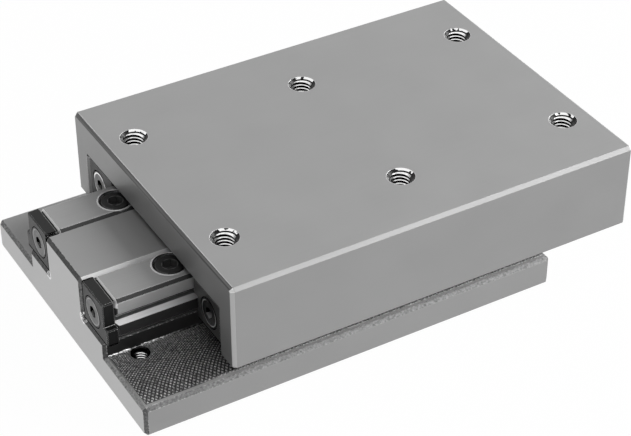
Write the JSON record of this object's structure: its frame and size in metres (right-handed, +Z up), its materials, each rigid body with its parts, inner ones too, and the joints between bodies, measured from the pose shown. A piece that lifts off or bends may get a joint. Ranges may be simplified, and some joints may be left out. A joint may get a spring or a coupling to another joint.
{
  "type": "crossed-roller slide table",
  "caption": "Short-travel linear slide: an inverted-channel carriage runs along a ribbed base on V-groove rails with caged crossed rollers, end caps and tapped mounting holes.",
  "frame": {"origin": "centre of the base's bottom face", "axes": "+X along the travel, towards the end that the carriage overhangs at rest; +Y to the side with the preload screws; +Z up"},
  "size_m": [0.0964, 0.06, 0.024],
  "materials": {
    "ground_steel": "fine ground, bright chamfers",
    "rail_steel": "hardened, ground races and lands, dark unground chamfers",
    "black_cap": "black moulded",
    "black_screw": "black oxide",
    "end_screw": "turned, dull",
    "cage_strip": "stamped strip",
    "roller_steel": "polished bearing steel"
  },
  "bodies": {
    "base": {"base": "ground_steel", "inner_rail_left": "rail_steel", "inner_rail_screws_left": "black_screw", "inner_cap_left_front": "black_cap", "inner_cap_left_rear": "black_cap", "inner_rail_right": "rail_steel", "inner_rail_screws_right": "black_screw", "inner_cap_right_front": "black_cap", "inner_cap_right_rear": "black_cap", "inner_end_screws": "end_screw"},
    "carriage": {"carriage": "ground_steel", "preload_screws": "black_screw", "outer_rail_left": "rail_steel", "outer_rail_screws_left": "black_screw", "outer_cap_left_front": "black_cap", "outer_cap_left_rear": "black_cap", "outer_rail_right": "rail_steel", "outer_rail_screws_right": "black_screw", "outer_cap_right_front": "black_cap", "outer_cap_right_rear": "black_cap", "outer_end_screws": "end_screw"},
    "cage_left": {"cage_left": "cage_strip"},
    "roller_left_01": {"roller_left_01": "roller_steel"},
    "roller_left_02": {"roller_left_02": "roller_steel"},
    "roller_left_03": {"roller_left_03": "roller_steel"},
    "roller_left_04": {"roller_left_04": "roller_steel"},
    "roller_left_05": {"roller_left_05": "roller_steel"},
    "roller_left_06": {"roller_left_06": "roller_steel"},
    "roller_left_07": {"roller_left_07": "roller_steel"},
    "roller_left_08": {"roller_left_08": "roller_steel"},
    "roller_left_09": {"roller_left_09": "roller_steel"},
    "roller_left_10": {"roller_left_10": "roller_steel"},
    "cage_right": {"cage_right": "cage_strip"},
    "roller_right_01": {"roller_right_01": "roller_steel"},
    "roller_right_02": {"roller_right_02": "roller_steel"},
    "roller_right_03": {"roller_right_03": "roller_steel"},
    "roller_right_04": {"roller_right_04": "roller_steel"},
    "roller_right_05": {"roller_right_05": "roller_steel"},
    "roller_right_06": {"roller_right_06": "roller_steel"},
    "roller_right_07": {"roller_right_07": "roller_steel"},
    "roller_right_08": {"roller_right_08": "roller_steel"},
    "roller_right_09": {"roller_right_09": "roller_steel"},
    "roller_right_10": {"roller_right_10": "roller_steel"}
  },
  "joints": [
    {"name": "carriage_slide", "type": "slide", "parent": "base", "child": "carriage", "axis": [1, 0, 0], "range_m": [-0.0414, 0.0086]},
    {"name": "cage_left_slide", "type": "slide", "parent": "base", "child": "cage_left", "axis": [1, 0, 0], "range_m": [-0.0207, 0.0043]},
    {"name": "roller_left_01_spin", "type": "hinge", "parent": "cage_left", "child": "roller_left_01", "pos_m": [-0.0143, 0.016, 0.013], "axis": [0, 0.7071, -0.7071], "range_deg": [-790.7, 164.3]},
    {"name": "roller_left_02_spin", "type": "hinge", "parent": "cage_left", "child": "roller_left_02", "pos_m": [-0.0093, 0.016, 0.013], "axis": [0, -0.7071, -0.7071], "range_deg": [-790.7, 164.3]},
    {"name": "roller_left_03_spin", "type": "hinge", "parent": "cage_left", "child": "roller_left_03", "pos_m": [-0.0043, 0.016, 0.013], "axis": [0, 0.7071, -0.7071], "range_deg": [-790.7, 164.3]},
    {"name": "roller_left_04_spin", "type": "hinge", "parent": "cage_left", "child": "roller_left_04", "pos_m": [0.0007, 0.016, 0.013], "axis": [0, -0.7071, -0.7071], "range_deg": [-790.7, 164.3]},
    {"name": "roller_left_05_spin", "type": "hinge", "parent": "cage_left", "child": "roller_left_05", "pos_m": [0.0057, 0.016, 0.013], "axis": [0, 0.7071, -0.7071], "range_deg": [-790.7, 164.3]},
    {"name": "roller_left_06_spin", "type": "hinge", "parent": "cage_left", "child": "roller_left_06", "pos_m": [0.0107, 0.016, 0.013], "axis": [0, -0.7071, -0.7071], "range_deg": [-790.7, 164.3]},
    {"name": "roller_left_07_spin", "type": "hinge", "parent": "cage_left", "child": "roller_left_07", "pos_m": [0.0157, 0.016, 0.013], "axis": [0, 0.7071, -0.7071], "range_deg": [-790.7, 164.3]},
    {"name": "roller_left_08_spin", "type": "hinge", "parent": "cage_left", "child": "roller_left_08", "pos_m": [0.0207, 0.016, 0.013], "axis": [0, -0.7071, -0.7071], "range_deg": [-790.7, 164.3]},
    {"name": "roller_left_09_spin", "type": "hinge", "parent": "cage_left", "child": "roller_left_09", "pos_m": [0.0257, 0.016, 0.013], "axis": [0, 0.7071, -0.7071], "range_deg": [-790.7, 164.3]},
    {"name": "roller_left_10_spin", "type": "hinge", "parent": "cage_left", "child": "roller_left_10", "pos_m": [0.0307, 0.016, 0.013], "axis": [0, -0.7071, -0.7071], "range_deg": [-790.7, 164.3]},
    {"name": "cage_right_slide", "type": "slide", "parent": "base", "child": "cage_right", "axis": [1, 0, 0], "range_m": [-0.0207, 0.0043]},
    {"name": "roller_right_01_spin", "type": "hinge", "parent": "cage_right", "child": "roller_right_01", "pos_m": [-0.0143, -0.016, 0.013], "axis": [0, 0.7071, 0.7071], "range_deg": [-790.7, 164.3]},
    {"name": "roller_right_02_spin", "type": "hinge", "parent": "cage_right", "child": "roller_right_02", "pos_m": [-0.0093, -0.016, 0.013], "axis": [0, -0.7071, 0.7071], "range_deg": [-790.7, 164.3]},
    {"name": "roller_right_03_spin", "type": "hinge", "parent": "cage_right", "child": "roller_right_03", "pos_m": [-0.0043, -0.016, 0.013], "axis": [0, 0.7071, 0.7071], "range_deg": [-790.7, 164.3]},
    {"name": "roller_right_04_spin", "type": "hinge", "parent": "cage_right", "child": "roller_right_04", "pos_m": [0.0007, -0.016, 0.013], "axis": [0, -0.7071, 0.7071], "range_deg": [-790.7, 164.3]},
    {"name": "roller_right_05_spin", "type": "hinge", "parent": "cage_right", "child": "roller_right_05", "pos_m": [0.0057, -0.016, 0.013], "axis": [0, 0.7071, 0.7071], "range_deg": [-790.7, 164.3]},
    {"name": "roller_right_06_spin", "type": "hinge", "parent": "cage_right", "child": "roller_right_06", "pos_m": [0.0107, -0.016, 0.013], "axis": [0, -0.7071, 0.7071], "range_deg": [-790.7, 164.3]},
    {"name": "roller_right_07_spin", "type": "hinge", "parent": "cage_right", "child": "roller_right_07", "pos_m": [0.0157, -0.016, 0.013], "axis": [0, 0.7071, 0.7071], "range_deg": [-790.7, 164.3]},
    {"name": "roller_right_08_spin", "type": "hinge", "parent": "cage_right", "child": "roller_right_08", "pos_m": [0.0207, -0.016, 0.013], "axis": [0, -0.7071, 0.7071], "range_deg": [-790.7, 164.3]},
    {"name": "roller_right_09_spin", "type": "hinge", "parent": "cage_right", "child": "roller_right_09", "pos_m": [0.0257, -0.016, 0.013], "axis": [0, 0.7071, 0.7071], "range_deg": [-790.7, 164.3]},
    {"name": "roller_right_10_spin", "type": "hinge", "parent": "cage_right", "child": "roller_right_10", "pos_m": [0.0307, -0.016, 0.013], "axis": [0, -0.7071, 0.7071], "range_deg": [-790.7, 164.3]}
  ],
  "couplings": [
    {"joint": "cage_left_slide", "follows": "carriage_slide", "ratio": 0.5},
    {"joint": "roller_left_01_spin", "follows": "carriage_slide", "rad_per_m": 333.33},
    {"joint": "roller_left_02_spin", "follows": "carriage_slide", "rad_per_m": 333.33},
    {"joint": "roller_left_03_spin", "follows": "carriage_slide", "rad_per_m": 333.33},
    {"joint": "roller_left_04_spin", "follows": "carriage_slide", "rad_per_m": 333.33},
    {"joint": "roller_left_05_spin", "follows": "carriage_slide", "rad_per_m": 333.33},
    {"joint": "roller_left_06_spin", "follows": "carriage_slide", "rad_per_m": 333.33},
    {"joint": "roller_left_07_spin", "follows": "carriage_slide", "rad_per_m": 333.33},
    {"joint": "roller_left_08_spin", "follows": "carriage_slide", "rad_per_m": 333.33},
    {"joint": "roller_left_09_spin", "follows": "carriage_slide", "rad_per_m": 333.33},
    {"joint": "roller_left_10_spin", "follows": "carriage_slide", "rad_per_m": 333.33},
    {"joint": "cage_right_slide", "follows": "carriage_slide", "ratio": 0.5},
    {"joint": "roller_right_01_spin", "follows": "carriage_slide", "rad_per_m": 333.33},
    {"joint": "roller_right_02_spin", "follows": "carriage_slide", "rad_per_m": 333.33},
    {"joint": "roller_right_03_spin", "follows": "carriage_slide", "rad_per_m": 333.33},
    {"joint": "roller_right_04_spin", "follows": "carriage_slide", "rad_per_m": 333.33},
    {"joint": "roller_right_05_spin", "follows": "carriage_slide", "rad_per_m": 333.33},
    {"joint": "roller_right_06_spin", "follows": "carriage_slide", "rad_per_m": 333.33},
    {"joint": "roller_right_07_spin", "follows": "carriage_slide", "rad_per_m": 333.33},
    {"joint": "roller_right_08_spin", "follows": "carriage_slide", "rad_per_m": 333.33},
    {"joint": "roller_right_09_spin", "follows": "carriage_slide", "rad_per_m": 333.33},
    {"joint": "roller_right_10_spin", "follows": "carriage_slide", "rad_per_m": 333.33}
  ]
}
